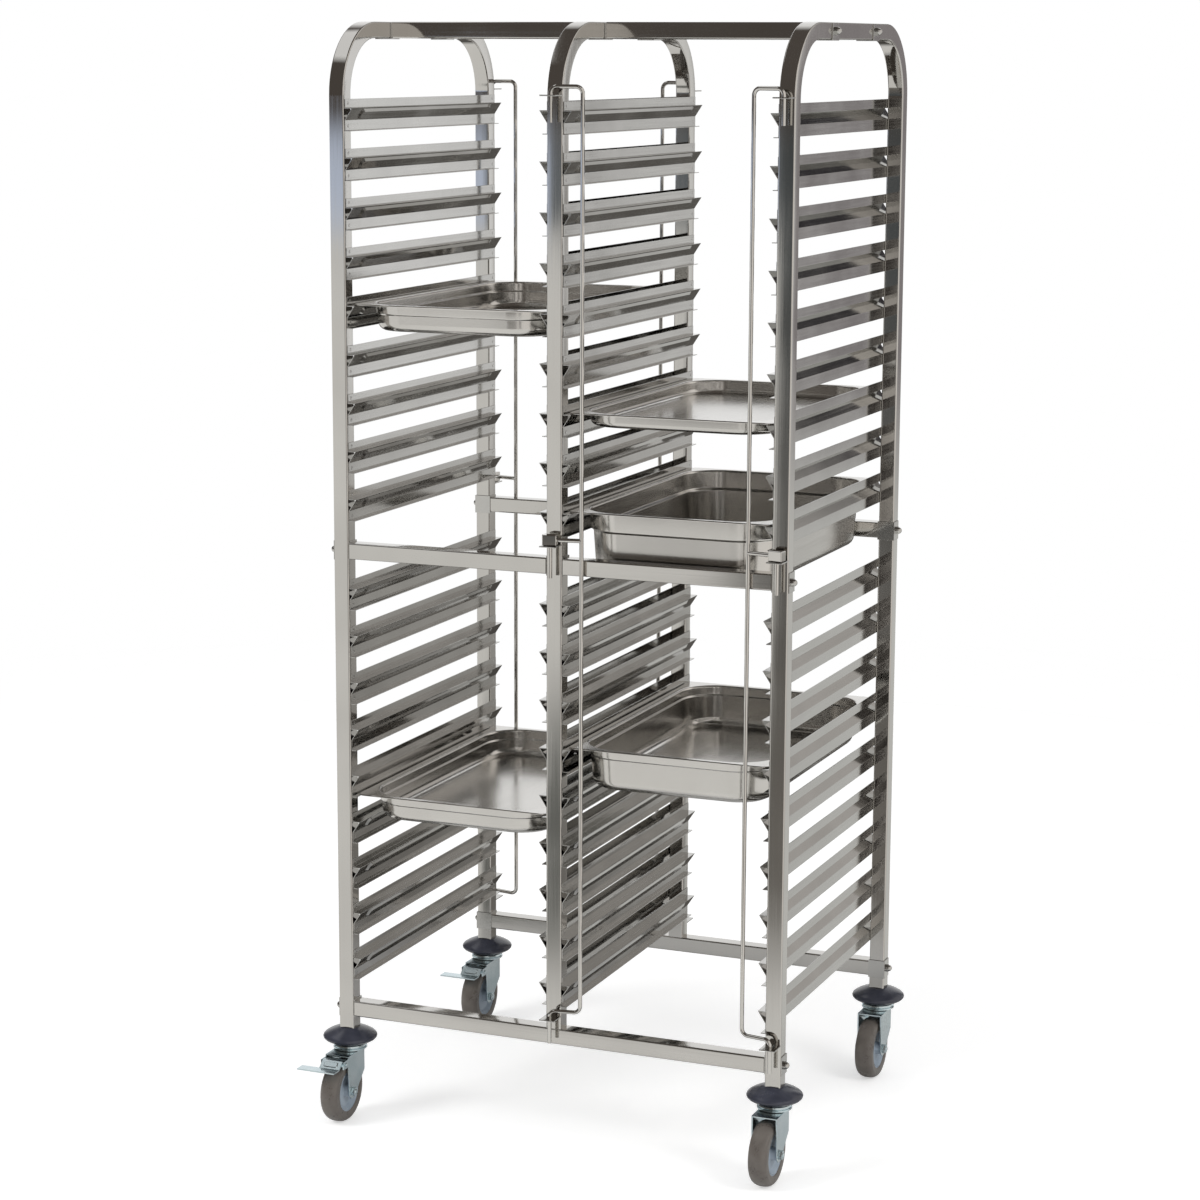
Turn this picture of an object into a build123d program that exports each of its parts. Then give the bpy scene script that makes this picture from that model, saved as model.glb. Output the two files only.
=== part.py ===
from build123d import *
import os

# Gastronorm pans, the size that the whole rack is built round
PAN_WIDTH = 325.0
PAN_LENGTH = 530.0
PAN_RIM = 11.5
PAN_RIM_T = 1.5
PAN_SHEET = 1.0
PAN_RIM_CORNER = 14.0
PAN_BOWL_CORNER = 50.0
PAN_DRAFT = 0.05
PAN_FOOT = 9.0
SHOULDER_DROP = 27.0
SHOULDER_STEP = 4.0
PAN_SEAT = 0.2
SHALLOW = 20.0
MEDIUM = 40.0
DEEP = 65.0
STACKING = 100.0
LEFT_UPPER_LEVEL = 5
LEFT_LOWER_LEVEL = 14
RIGHT_UPPER_LEVEL = 7
RIGHT_STACKING_LEVEL = 9
RIGHT_LOWER_LEVEL = 13

# Flats that stand for the round of repeated small pieces
ROD_SIDES = 8
PIN_SIDES = 12
DISC_SIDES = 24
WHEEL_SIDES = 36
CORNER_SIDES = 5

# Square tube frame: three hoops joined by cross bars
TUBE = 25.0
TUBE_WALL = 1.2
HOOP_BEND = 111.0
FOOT_LENGTH = 20.5
TOP_BAR_Y = 100.0
PAN_PLAY = 3.75
BAR_CLEAR = 1.5

# Runners, bent from strip, in two groups above and below the mid bars
LEVELS = 9
PITCH = 74.3
RUNNER_T = 1.2
RUNNER_H = 48.0
TOP_FLANGE = 13.0
NOSE_DROP = 18.5
LIP_OUT = 8.5
BOWL_CLEAR = 1.75
RUNNER_SETBACK = 3.0
LOW_GAP = 35.4
MID_GAP = 33.2
TOP_GAP = 4.5

# Saddles that hold the bars to the hoops
SADDLE_T = 1.5
SADDLE_H = 30.0
SADDLE_SETBACK = 2.0

# Swing gates, bent from round rod and hung in tabs on the posts
ROD_R = 3.2
ROD_FIT = 0.07
GATE_ARM = 48.0
GATE_BEND = 10.0
GATE_SEAT = 0.3
GATE_INWARD = 10.0
HINGE_OUT = 15.0
TAB_NOSE = 13.0
TAB_T = 2.0
PIN_DROP = 38.0
TOP_TAB_RISE = 8.0
MID_TAB_RISE = 20.0
LOW_TAB_RISE = 19.5
BLOCK_W = 22.0
BLOCK_D = 15.0
BLOCK_H = 16.0
MID_PIN_DROP = 50.0

# Castors: wheel, fork, swivel head, stem and bumper
WHEEL_R = 50.0
TYRE_W = 30.0
TREAD_W = 15.0
TREAD_DROP = 5.0
HUB_R = 33.0
HUB_INSET = 2.0
BOSS_R = 9.0
BOSS_GAP = 0.5
TRAIL = 33.0
AXLE_R = 4.0
AXLE_FIT = 0.06
NUT_R = 7.5
NUT_H = 5.5
FORK_T = 2.5
FORK_GAP = 3.0
LEG_R = 11.5
CROWN_GAP = 8.0
CROWN_DEPTH = 25.0
NOSE_PAST = 14.0
KINGPIN_R = 7.0
KINGPIN_FIT = 0.06
KINGPIN_END = 3.0
SWIVEL_GAP = 0.3
RACE_R = 27.0
RACE_H = 10.2
RACE_SLOPE = 5.0
STEM_FIT = 0.1
PLUG_H = 40.0
BUMPER_R = 43.0
BUMPER_H = 25.0
BUMPER_FLAT = 22.0
BUMPER_EDGE = 9.0

# Brake pedals of the left castors
CHEEK = 16.0
CHEEK_H = 13.0
CHEEK_DROP = 1.0
PEDAL_T = 2.0
PEDAL_PLAY = 0.5
PEDAL_PIN_R = 3.0
PEDAL_FIT = 0.06
PIN_END = 1.5
LUG_R = 6.5
LUG_T = 2.5
FOOT_DROP = 9.5
FOOT_SLOPE = 13.0
FOOT_DEPTH = 18.0
WING = 30.0
SHOE_L = 13.0
SHOE_GAP = 3.5

# Heights of the stack, from the floor up
crown_top = 2 * WHEEL_R + CROWN_GAP + FORK_T
race_z = crown_top + SWIVEL_GAP
bumper_z = race_z + RACE_H
foot_z = bumper_z + BUMPER_H
low_bar_z = foot_z + FOOT_LENGTH
low_bar_top = low_bar_z + TUBE
group_h = RUNNER_H + (LEVELS - 1) * PITCH
lower_top = low_bar_top + LOW_GAP + group_h
mid_bar_z = lower_top + MID_GAP
mid_bar_top = mid_bar_z + TUBE
upper_top = mid_bar_top + MID_GAP + group_h
hoop_top = upper_top + TOP_GAP + HOOP_BEND

# Plan of the frame: the pans set the bays, and the stacking pan hangs between the bars
bay = PAN_WIDTH + 2 * PAN_PLAY
half_width = bay + 1.5 * TUBE
half_depth = PAN_LENGTH / 2 - PAN_RIM - SHOULDER_STEP + BAR_CLEAR + TUBE
hoop_x = bay + TUBE
post_y = half_depth - TUBE / 2
bay_x = hoop_x / 2
hinge_y = half_depth + HINGE_OUT
shelf_out = PAN_PLAY + PAN_RIM - BOWL_CLEAR
tube_inside = TUBE - 2 * TUBE_WALL
stem_side = tube_inside - 2 * STEM_FIT

LEFT, MIDDLE, RIGHT = -1, 0, 1
FRONT, REAR = -1, 1
SIDE_NAME = {LEFT: "left", MIDDLE: "middle", RIGHT: "right"}
END_NAME = {FRONT: "front", REAR: "rear"}


def runner_top(level):
    """Height of a runner's top edge, with level 1 at the top of the rack."""
    if level <= LEVELS:
        return upper_top - (level - 1) * PITCH
    return lower_top - (level - 1 - LEVELS) * PITCH


def shelf_z(level):
    """Height of the shelf that a pan's rim slides on."""
    return runner_top(level) - TOP_FLANGE


def lip_z(level):
    """Height of the small lip along a runner's lower edge."""
    return runner_top(level) - RUNNER_H + RUNNER_T


def bar_section(radius, sides):
    """A round bar's section, with its corners on the circle."""
    return RegularPolygon(radius, sides)


def hole_section(radius, sides):
    """A round hole's section, with its flats on the circle so that a pin turns inside."""
    return RegularPolygon(radius, sides, major_radius=False)


def level_section(radius, sides):
    """A round section with one of its flats square to each axis."""
    return RegularPolygon(radius, sides, major_radius=False, rotation=180 / sides)


def circle_points(radius, sides, plane):
    """The corners of a level section on a plane."""
    corner = Vector(level_section(radius, sides).radius, 0)
    turned = [corner.rotate(Axis.Z, 360 * (n + 0.5) / sides) for n in range(sides)]
    return [plane.from_local_coords(point) for point in turned]


def rounded_points(width, length, radius, z):
    """The corners of a rectangle rounded in short sides, at a height."""
    points = []
    for corner, (x, y) in enumerate(((1, 1), (-1, 1), (-1, -1), (1, -1))):
        centre = Vector(x * (width / 2 - radius), y * (length / 2 - radius), z)
        for n in range(CORNER_SIDES + 1):
            turn = 90 * (corner + n / CORNER_SIDES)
            points.append(centre + Vector(radius, 0).rotate(Axis.Z, turn))
    return points


def skin(rings):
    """A solid with flat faces from ring to ring of points, closed at both ends."""
    faces = [Face(Wire.make_polygon(rings[0])), Face(Wire.make_polygon(rings[-1]))]
    for low, high in zip(rings, rings[1:]):
        for n in range(len(low)):
            faces.append(Face(Wire.make_polygon([low[n - 1], low[n], high[n], high[n - 1]])))
    return Solid(Shell(faces))


def hoop(x, foot):
    """One square tube bent into an upside-down U across the depth of the rack."""
    tube = Rectangle(TUBE, TUBE) - Rectangle(tube_inside, tube_inside)
    top = hoop_top - TUBE / 2
    path = FilletPolyline(
        (x, -post_y, foot),
        (x, -post_y, top),
        (x, post_y, top),
        (x, post_y, foot),
        radius=HOOP_BEND - TUBE / 2,
    )
    return sweep(Plane((x, -post_y, foot)) * tube, path=path)


def bar(x, y, z, length):
    """A length of the square tube along X, with its underside at z."""
    tube = Box(length, TUBE, TUBE) - Box(length, tube_inside, tube_inside)
    return Pos(x, y, z + TUBE / 2) * tube


def saddle():
    """A U of strip round three sides of a tube, open towards -Y."""
    depth = TUBE + SADDLE_T - SADDLE_SETBACK
    outline = Pos(0, (SADDLE_T + SADDLE_SETBACK) / 2) * Rectangle(TUBE + 2 * SADDLE_T, depth)
    return extrude(outline - Rectangle(TUBE, TUBE), SADDLE_H / 2, both=True)


def runner(side):
    """A bent strip: flange, shelf, sloping web back to the post, flange and lip."""
    nose = (shelf_out, -TOP_FLANGE)
    web_foot = (RUNNER_T, -TOP_FLANGE - NOSE_DROP)
    lip_top = RUNNER_T - RUNNER_H
    face_line = Polyline(
        (RUNNER_T, 0),
        (RUNNER_T, -TOP_FLANGE),
        nose,
        web_foot,
        (RUNNER_T, lip_top),
        (LIP_OUT, lip_top),
    )
    strip = make_face(face_line.offset_2d(RUNNER_T, kind=Kind.INTERSECTION, side=Side.RIGHT))
    rail = extrude(Plane.XZ * strip, half_depth - RUNNER_SETBACK, both=True)
    return rail if side > 0 else mirror(rail, about=Plane.YZ)


def runner_column(face_x, side):
    """All the runners on one face of a hoop, with their shelves towards side."""
    rail = runner(side)
    return Compound([Pos(face_x, 0, runner_top(n + 1)) * rail for n in range(2 * LEVELS)])


def bowl(depth, sheet, rise, shouldered):
    """The inside or outside of a pan, from rise above its rim down, as a tapering rounded box."""
    steps = [(-rise, 0.0)]
    step_in = 0.0
    if shouldered:
        step_in = SHOULDER_STEP
        steps.append((SHOULDER_DROP, 0.0))
        steps.append((SHOULDER_DROP + SHOULDER_STEP, step_in))
    wall = depth - PAN_FOOT
    lean = step_in + PAN_DRAFT * wall
    steps.append((wall, lean))
    steps.append((depth - sheet, lean + PAN_FOOT))
    rings = []
    for drop, inset in steps:
        edge = inset + sheet
        width = PAN_WIDTH - 2 * (PAN_RIM + edge)
        length = PAN_LENGTH - 2 * (PAN_RIM + edge)
        rings.append(rounded_points(width, length, PAN_BOWL_CORNER - edge, -drop))
    return skin(rings)


def pan(depth, shouldered=False):
    """A pressed pan with its rim's underside at the origin."""
    rim = skin([rounded_points(PAN_WIDTH, PAN_LENGTH, PAN_RIM_CORNER, z) for z in (0, PAN_RIM_T)])
    outside = bowl(depth, 0.0, 0.0, shouldered)
    return rim + outside - bowl(depth, PAN_SHEET, PAN_RIM_T, shouldered)


# Gate heights: each tab is fixed to a post, and the rod hangs through it
top_tab = upper_top + TOP_TAB_RISE
mid_tab = mid_bar_top + MID_TAB_RISE
low_tab = low_bar_top + LOW_TAB_RISE
tab_depth = HINGE_OUT + TAB_NOSE
run_rise = TAB_T + GATE_SEAT + ROD_R / 2 + GATE_BEND


def tab(x, end, z):
    """A small plate on a post's outer face, bored for a gate's pin."""
    plate = Pos(0, end * (half_depth + tab_depth / 2)) * Rectangle(TUBE, tab_depth)
    hole = Pos(0, end * hinge_y) * hole_section(ROD_R + ROD_FIT, ROD_SIDES)
    return Pos(x, 0, z) * extrude(plate - hole, TAB_T)


def gate():
    """A rod gate about its hinge line, reaching along +X, with three pins that point down."""
    top_run = top_tab + run_rise
    low_run = low_tab + run_rise
    path = Polyline(
        (0, 0, top_tab - PIN_DROP),
        (0, 0, top_run - GATE_BEND),
        (GATE_BEND, 0, top_run),
        (GATE_ARM - GATE_BEND, 0, top_run),
        (GATE_ARM, 0, top_run - GATE_BEND),
        (GATE_ARM, 0, low_run + GATE_BEND),
        (GATE_ARM - GATE_BEND, 0, low_run),
        (GATE_BEND, 0, low_run),
        (0, 0, low_run - GATE_BEND),
        (0, 0, low_tab - PIN_DROP),
    )
    section = bar_section(ROD_R, ROD_SIDES)
    rod = sweep(Plane((0, 0, top_tab - PIN_DROP)) * section, path=path, transition=Transition.RIGHT)
    block_z = mid_tab + TAB_T + GATE_SEAT
    block = Pos(0, 0, block_z + BLOCK_H / 2) * Box(BLOCK_W, BLOCK_D, BLOCK_H)
    link = extrude(Plane.YZ * Pos(0, block_z + BLOCK_H / 2) * section, GATE_ARM)
    pin = Pos(0, 0, block_z) * extrude(section, -MID_PIN_DROP)
    return rod + block + link + pin


# Castor plan: the fork's cheeks stand either side of the wheel
fork_in = TYRE_W / 2 + FORK_GAP
fork_out = fork_in + FORK_T
crown_nose = TRAIL + NOSE_PAST
pivot_y = -crown_nose - CHEEK / 2
pivot_z = crown_top - FORK_T - CHEEK_DROP - CHEEK_H / 2
wheel_place = Pos(0, -TRAIL, WHEEL_R)
pivot_place = Plane.YZ * Pos(pivot_y, pivot_z)


def tyre():
    """A rubber ring about X, with a flat tread between two sloping shoulders."""
    half = TYRE_W / 2
    shoulder = WHEEL_R - TREAD_DROP
    profile = ((-half, shoulder), (-TREAD_W / 2, WHEEL_R), (TREAD_W / 2, WHEEL_R), (half, shoulder))
    rings = [circle_points(radius, WHEEL_SIDES, Plane.YZ.offset(x)) for x, radius in profile]
    seat = extrude(Plane.YZ * bar_section(HUB_R, DISC_SIDES), half, both=True)
    return wheel_place * (skin(rings) - seat)


def hub():
    """The wheel centre: a dished web with a boss that almost touches the fork."""
    web = extrude(Plane.YZ * bar_section(HUB_R, DISC_SIDES), TYRE_W / 2 - HUB_INSET, both=True)
    boss = extrude(Plane.YZ * bar_section(BOSS_R, PIN_SIDES), fork_in - BOSS_GAP, both=True)
    bore = extrude(Plane.YZ * hole_section(AXLE_R + AXLE_FIT, PIN_SIDES), fork_in, both=True)
    return wheel_place * (web + boss - bore)


def axle():
    """The axle bolt, with a hexagonal head on one cheek and a nut on the other."""
    shank = extrude(Plane.YZ * bar_section(AXLE_R, PIN_SIDES), fork_out, both=True)
    nut = extrude(Plane.YZ.offset(fork_out) * RegularPolygon(NUT_R, 6), NUT_H)
    head = extrude(Plane.YZ.offset(-fork_out) * RegularPolygon(NUT_R, 6), -NUT_H)
    return wheel_place * (shank + nut + head)


def fork_plan(half, nose):
    """The fork's U in plan: straight sides to the front, and a back bent round the swivel."""
    return Pos(0, -nose / 2) * Rectangle(2 * half, nose) + level_section(half, ROD_SIDES)


def fork(braked):
    """A drawn fork: a U-shaped skirt under a crown, cut to tapering legs in side view."""
    nose = crown_nose + (CHEEK if braked else 0.0)
    shell = extrude(fork_plan(fork_out, nose), crown_top)
    shell -= extrude(fork_plan(fork_in, nose), crown_top - FORK_T)
    eye = Pos(-TRAIL, WHEEL_R) * level_section(LEG_R, ROD_SIDES)
    crown_length = crown_nose + fork_out
    crown_mid = (crown_length / 2 - crown_nose, crown_top - CROWN_DEPTH / 2)
    crown = Pos(*crown_mid) * Rectangle(crown_length, CROWN_DEPTH)
    side = make_hull([*eye.edges(), *crown.edges()])
    if braked:
        side += Pos(pivot_y + CHEEK / 2, pivot_z) * Rectangle(2 * CHEEK, CHEEK_H)
    body = shell & extrude(Plane.YZ * side, fork_out, both=True)
    axle_hole = hole_section(AXLE_R + AXLE_FIT, PIN_SIDES)
    body -= wheel_place * extrude(Plane.YZ * axle_hole, fork_out, both=True)
    body -= extrude(hole_section(KINGPIN_R + KINGPIN_FIT, PIN_SIDES), crown_top)
    if braked:
        pin_hole = pivot_place * hole_section(PEDAL_PIN_R + PEDAL_FIT, PIN_SIDES)
        body -= extrude(pin_hole, fork_out, both=True)
    return body


def stem():
    """The fixed swivel head: kingpin, race and a square stem that plugs into the post."""
    pin_foot = crown_top - FORK_T - KINGPIN_END
    kingpin = Pos(0, 0, pin_foot) * extrude(bar_section(KINGPIN_R, PIN_SIDES), race_z - pin_foot)
    profile = ((race_z, RACE_R), (bumper_z, RACE_R - RACE_SLOPE))
    race = skin([circle_points(radius, DISC_SIDES, Plane.XY.offset(z)) for z, radius in profile])
    bar_through = Pos(0, 0, bumper_z) * extrude(Rectangle(stem_side, stem_side), BUMPER_H + PLUG_H)
    return kingpin + race + bar_through


def bumper():
    """A lens of hard rubber round the stem, flat where the post stands on it."""
    edge_z = (BUMPER_H - BUMPER_EDGE) / 2
    edge_top = edge_z + BUMPER_EDGE
    profile = ((0, BUMPER_FLAT), (edge_z, BUMPER_R), (edge_top, BUMPER_R), (BUMPER_H, BUMPER_FLAT))
    lens = skin([circle_points(radius, DISC_SIDES, Plane.XY.offset(z)) for z, radius in profile])
    bore = extrude(Rectangle(stem_side + 2 * STEM_FIT, stem_side + 2 * STEM_FIT), BUMPER_H)
    return Pos(0, 0, bumper_z) * (lens - bore)


def pedal():
    """A bent plate between the fork's cheeks, with pivot lugs, a brake shoe and a foot wing."""
    half = fork_in - PEDAL_PLAY
    top = pivot_z + LUG_R
    bend_y = pivot_y - LUG_R
    foot_top = top - FOOT_DROP
    foot_y = bend_y - FOOT_SLOPE
    toe_y = foot_y - FOOT_DEPTH
    line = Polyline((pivot_y + LUG_R, top), (bend_y, top), (foot_y, foot_top), (toe_y, foot_top))
    plate = make_face(line.offset_2d(PEDAL_T, kind=Kind.INTERSECTION, side=Side.LEFT))
    body = extrude(Plane.YZ * plate, half, both=True)
    lug = pivot_place * level_section(LUG_R, ROD_SIDES)
    lugs = extrude(lug, half, both=True) - extrude(lug, half - LUG_T, both=True)
    shoe_top = top - PEDAL_T / 2
    shoe = Plane.YZ * Pos(bend_y, shoe_top - LUG_R) * Rectangle(SHOE_L, 2 * LUG_R)
    shoe_block = extrude(shoe, half - 2 * LUG_T, both=True)
    tyre_room = wheel_place * extrude(Plane.YZ * Circle(WHEEL_R + SHOE_GAP), half, both=True)
    above_plate = make_face(Polyline((bend_y, top), (foot_y, foot_top), (foot_y, top), close=True))
    shoe_block -= extrude(Plane.YZ * above_plate, half, both=True)
    wing_mid = (-half - WING / 2, foot_y - FOOT_DEPTH / 2, foot_top - PEDAL_T / 2)
    wing = Pos(*wing_mid) * Box(WING, FOOT_DEPTH, PEDAL_T)
    pin_hole = pivot_place * hole_section(PEDAL_PIN_R + PEDAL_FIT, PIN_SIDES)
    return body + lugs + (shoe_block - tyre_room) + wing - extrude(pin_hole, half, both=True)


def pedal_pin():
    """The rivet that the pedal turns on, across both cheeks."""
    return extrude(pivot_place * bar_section(PEDAL_PIN_R, PIN_SIDES), fork_out + PIN_END, both=True)


nodes = {}

# Hoops: the middle one stands on the low bars, and the outer two on castors
for side in (LEFT, MIDDLE, RIGHT):
    foot = low_bar_top if side == MIDDLE else foot_z
    nodes[f"{SIDE_NAME[side]}_hoop"] = hoop(side * hoop_x, foot)

# Cross bars, each between the saddles of two hoops
bar_length = bay - 2 * SADDLE_T
low_bar_length = bar_length + bay + TUBE
for end in (FRONT, REAR):
    for side in (LEFT, RIGHT):
        place = f"{END_NAME[end]}_{SIDE_NAME[side]}"
        nodes[f"top_bar_{place}"] = bar(side * bay_x, end * TOP_BAR_Y, hoop_top - TUBE, bar_length)
        nodes[f"mid_bar_{place}"] = bar(side * bay_x, end * post_y, mid_bar_z, bar_length)
    nodes[f"low_bar_{END_NAME[end]}"] = bar(0, end * post_y, low_bar_z, low_bar_length)

# Saddles, with their bases on the inner side of the tube
upright = {FRONT: saddle(), REAR: Rot(0, 0, 180) * saddle()}
level_saddle = Rot(-90, 0, 0) * saddle()
mid_z = mid_bar_z + TUBE / 2
low_z = low_bar_z + TUBE / 2
top_z = hoop_top - TUBE / 2
ends = [(side, end) for side in (LEFT, MIDDLE, RIGHT) for end in (FRONT, REAR)]
outer_ends = [(side, end) for side, end in ends if side != MIDDLE]
nodes["top_saddles"] = Compound([Pos(s * hoop_x, e * TOP_BAR_Y, top_z) * level_saddle for s, e in ends])
nodes["mid_saddles"] = Compound([Pos(s * hoop_x, e * post_y, mid_z) * upright[e] for s, e in ends])
nodes["low_saddles"] = Compound([Pos(s * hoop_x, e * post_y, low_z) * upright[e] for s, e in outer_ends])

# Runner columns on the inner faces of the hoops
nodes["runners_left"] = runner_column(-half_width + TUBE, RIGHT)
nodes["runners_middle_left"] = runner_column(-TUBE / 2, LEFT)
nodes["runners_middle_right"] = runner_column(TUBE / 2, RIGHT)
nodes["runners_right"] = runner_column(half_width - TUBE, LEFT)

# Gates: front pair across the right bay, rear pair across the left bay
gates = [(MIDDLE, FRONT, RIGHT), (RIGHT, FRONT, LEFT), (LEFT, REAR, RIGHT), (MIDDLE, REAR, LEFT)]
hung_rod = gate()
tabs = []
for side, end, reach in gates:
    turn = (0 if reach == RIGHT else 180) - end * reach * GATE_INWARD
    place = Pos(side * hoop_x, end * hinge_y, 0) * Rot(0, 0, turn)
    nodes[f"gate_{END_NAME[end]}_{SIDE_NAME[side]}"] = place * hung_rod
    tabs += [tab(side * hoop_x, end, z) for z in (top_tab, mid_tab, low_tab)]
nodes["gate_tabs"] = Compound(tabs)

# Castors under the outer posts, with brakes on the left
stems = []
bumpers = []
for side, end in outer_ends:
    under_post = Pos(side * hoop_x, end * post_y, 0)
    place = f"{END_NAME[end]}_{SIDE_NAME[side]}"
    nodes[f"fork_{place}"] = under_post * fork(side == LEFT)
    nodes[f"axle_{place}"] = under_post * axle()
    nodes[f"tyre_{place}"] = under_post * tyre()
    nodes[f"hub_{place}"] = under_post * hub()
    stems.append(under_post * stem())
    bumpers.append(under_post * bumper())
    if side == LEFT:
        nodes[f"brake_pedal_{place}"] = under_post * pedal()
        nodes[f"pedal_pin_{place}"] = under_post * pedal_pin()
nodes["castor_stems"] = Compound(stems)
nodes["castor_bumpers"] = Compound(bumpers)

# Pans on their shelves, and the lower left one on the lips of its runners
nodes["pan_left_upper"] = Pos(-bay_x, 0, shelf_z(LEFT_UPPER_LEVEL) + PAN_SEAT) * pan(MEDIUM)
nodes["pan_left_lower"] = Pos(-bay_x, 0, lip_z(LEFT_LOWER_LEVEL) + PAN_SEAT) * pan(MEDIUM)
nodes["pan_right_upper"] = Pos(bay_x, 0, shelf_z(RIGHT_UPPER_LEVEL) + PAN_SEAT) * pan(SHALLOW)
stacking_z = shelf_z(RIGHT_STACKING_LEVEL) + PAN_SEAT
nodes["pan_right_stacking"] = Pos(bay_x, 0, stacking_z) * pan(STACKING, shouldered=True)
nodes["pan_right_lower"] = Pos(bay_x, 0, shelf_z(RIGHT_LOWER_LEVEL) + PAN_SEAT) * pan(DEEP)

os.makedirs("parts", exist_ok=True)
for name, shape in nodes.items():
    export_step(shape, f"parts/{name}.step")
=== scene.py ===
from math import cos, pi, radians, sin

import bmesh
import bpy
from mathutils import Euler, Matrix, Vector


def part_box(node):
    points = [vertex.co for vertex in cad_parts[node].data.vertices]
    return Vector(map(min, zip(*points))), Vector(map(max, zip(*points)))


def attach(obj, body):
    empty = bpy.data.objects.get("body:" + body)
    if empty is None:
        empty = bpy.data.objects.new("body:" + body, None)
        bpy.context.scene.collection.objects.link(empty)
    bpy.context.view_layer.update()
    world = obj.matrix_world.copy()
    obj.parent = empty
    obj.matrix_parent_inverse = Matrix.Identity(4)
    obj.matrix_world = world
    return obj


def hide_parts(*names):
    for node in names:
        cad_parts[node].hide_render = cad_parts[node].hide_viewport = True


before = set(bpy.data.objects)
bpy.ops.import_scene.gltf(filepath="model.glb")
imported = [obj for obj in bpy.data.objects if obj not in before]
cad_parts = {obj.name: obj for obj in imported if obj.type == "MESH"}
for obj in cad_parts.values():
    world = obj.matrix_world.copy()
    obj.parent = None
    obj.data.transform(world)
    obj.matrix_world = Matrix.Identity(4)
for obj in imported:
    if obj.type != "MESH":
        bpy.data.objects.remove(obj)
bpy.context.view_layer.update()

# Hoops: three square stainless tubes, each bent twice on a mandrel into an upside-down U.
# The tube is seam-welded with small round corners, linished along its length and polished,
# so it mirrors the room with faint lines in it. The cross bars are bolted between the hoops.
PER_METRE = 1000
TUBE = 25.0
TUBE_CORNER = 2.2
CORNER_STEPS = 4
BEND = 98.5
BEND_STEPS = 14
POST_Y = 263.5
HOOP_TOP = 1706.1
SHARP_ANGLE = radians(28)
RELIEF = 0.4


def linear(code):
    """The linear colour of an sRGB hex code."""
    parts = [int(code[n : n + 2], 16) / 255 for n in (1, 3, 5)]
    return (*(p / 12.92 if p <= 0.04045 else ((p + 0.055) / 1.055) ** 2.4 for p in parts), 1)


def add(tree, kind, links=(), **settings):
    """Adds a shader node, sets its properties, and fills or links its sockets."""
    made = tree.nodes.new(kind)
    for name, value in settings.items():
        setattr(made, name, value)
    for socket, value in dict(links).items():
        if isinstance(value, bpy.types.NodeSocket):
            tree.links.new(value, made.inputs[socket])
        else:
            made.inputs[socket].default_value = value
    return made


def finish_of(name, dark, light, *, metallic, rough, grain, smudge, depth):
    """A surface whose grain, in millimetres along X, Y and Z, shifts its gloss and relief.
    Smudges of a given size shift its colour, and dull it a little here and there."""
    made = bpy.data.materials.new(name)
    made.use_nodes = True
    tree = made.node_tree
    shader = tree.nodes["Principled BSDF"]
    shader.inputs["Metallic"].default_value = metallic
    place = add(tree, "ShaderNodeTexCoord").outputs["Object"]
    scale = [PER_METRE / size for size in grain]
    drawn = add(tree, "ShaderNodeMapping", {"Vector": place, "Scale": scale}).outputs["Vector"]
    lines = add(
        tree,
        "ShaderNodeTexNoise",
        {"Vector": drawn, "Scale": 1, "Detail": 3, "Roughness": 0.6},
    ).outputs["Fac"]
    cloud = add(
        tree,
        "ShaderNodeTexNoise",
        {"Vector": place, "Scale": PER_METRE / smudge, "Detail": 2, "Roughness": 0.5},
    ).outputs["Fac"]
    # Each pattern lies round 0.5, so the two together lie round 1.
    both = add(tree, "ShaderNodeMath", {0: lines, 1: cloud}, operation="ADD").outputs[0]
    tint = add(tree, "ShaderNodeValToRGB", {"Fac": cloud})
    for stop, position, code in zip(tint.color_ramp.elements, (0.3, 0.7), (dark, light)):
        stop.position = position
        stop.color = linear(code)
    gloss = add(
        tree,
        "ShaderNodeMapRange",
        {"Value": both, "From Min": 0.7, "From Max": 1.3, "To Min": rough[0], "To Max": rough[1]},
    )
    relief = add(
        tree,
        "ShaderNodeBump",
        {"Height": lines, "Strength": depth, "Distance": RELIEF / PER_METRE},
    )
    tree.links.new(tint.outputs["Color"], shader.inputs["Base Color"])
    tree.links.new(gloss.outputs["Result"], shader.inputs["Roughness"])
    tree.links.new(relief.outputs["Normal"], shader.inputs["Normal"])
    return made


def rounded(bm, corners, radius, steps):
    """Rounds the corners of a flat face, and gives the face."""
    ring = bmesh.ops.bevel(
        bm,
        geom=corners,
        offset=radius,
        affect="VERTICES",
        segments=steps,
        profile=0.5,
        material=-1,
    )
    return ring["verts"][0].link_faces[0]


def square_end(bm, place):
    """The end face of a square tube, its corners rounded."""
    grid = bmesh.ops.create_grid(bm, x_segments=1, y_segments=1, size=TUBE / 2, matrix=place)
    return rounded(bm, grid["verts"], TUBE_CORNER, CORNER_STEPS)


def run_on(bm, face, step):
    """Draws an end face out along a straight run, and gives the new end."""
    walled = face.edges[0].is_manifold
    made = bmesh.ops.extrude_face_region(bm, geom=[face])["geom"]
    moved = [v for v in made if isinstance(v, bmesh.types.BMVert)]
    bmesh.ops.translate(bm, verts=moved, vec=step)
    if walled:
        bmesh.ops.delete(bm, geom=[face], context="FACES_ONLY")
    return next(f for f in made if isinstance(f, bmesh.types.BMFace))


def bend_on(bm, face, centre, axis, degrees, steps):
    """Draws an end face round a bend, and gives the new end."""
    section = [face, *face.edges, *face.verts]
    made = bmesh.ops.spin(
        bm, geom=section, cent=centre, axis=axis, angle=radians(degrees), steps=steps
    )
    return next(f for f in made["geom_last"] if isinstance(f, bmesh.types.BMFace))


def corners_of(node):
    """The low and high corners of a solid's box, in millimetres."""
    return [PER_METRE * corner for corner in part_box(node)]


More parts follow.
